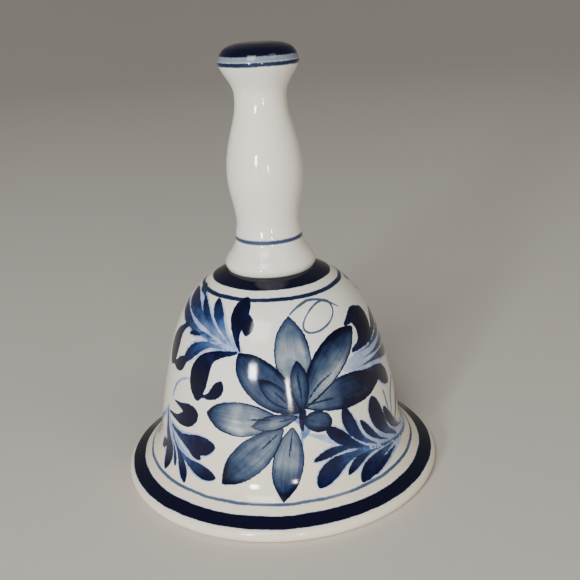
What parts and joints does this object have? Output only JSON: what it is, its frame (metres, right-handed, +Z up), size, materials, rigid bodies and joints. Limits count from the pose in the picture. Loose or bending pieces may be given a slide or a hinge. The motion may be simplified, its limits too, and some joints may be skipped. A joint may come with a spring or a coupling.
{
  "type": "porcelain hand bell",
  "caption": "Open porcelain bell with a flared lip, a baluster handle with a domed head, and a ball clapper that swings from a wire staple and ring.",
  "frame": {"origin": "middle of the ring that the lip rests on, on the resting plane", "axes": "+Z up along the bell's axis, from the lip to the handle's head; the staple's bar lies along X, so the ring swings about X and the clapper about Y"},
  "size_m": [0.09, 0.09, 0.119],
  "materials": {
    "glazed_porcelain": "clear glaze over white porcelain with cobalt-blue painting",
    "cement": "rough, set cement",
    "brass_wire": "dull, slightly tarnished"
  },
  "bodies": {
    "bell": {"bell_body": "glazed_porcelain", "handle": "glazed_porcelain", "cement_plug": "cement", "hanger_staple": "brass_wire"},
    "ring": {"hanger_ring": "brass_wire"},
    "clapper": {"clapper_rod": "brass_wire", "clapper_ball": "glazed_porcelain", "clapper_washer": "brass_wire", "crimp_bead": "brass_wire"}
  },
  "joints": [
    {"name": "ring_on_staple", "type": "hinge", "parent": "bell", "child": "ring", "pos_m": [0, 0, 0.052], "axis": [1, 0, 0], "range_deg": [-26, 26]},
    {"name": "clapper_on_ring", "type": "hinge", "parent": "ring", "child": "clapper", "pos_m": [0, 0, 0.0478], "axis": [0, 1, 0], "range_deg": [-28, 28]}
  ]
}
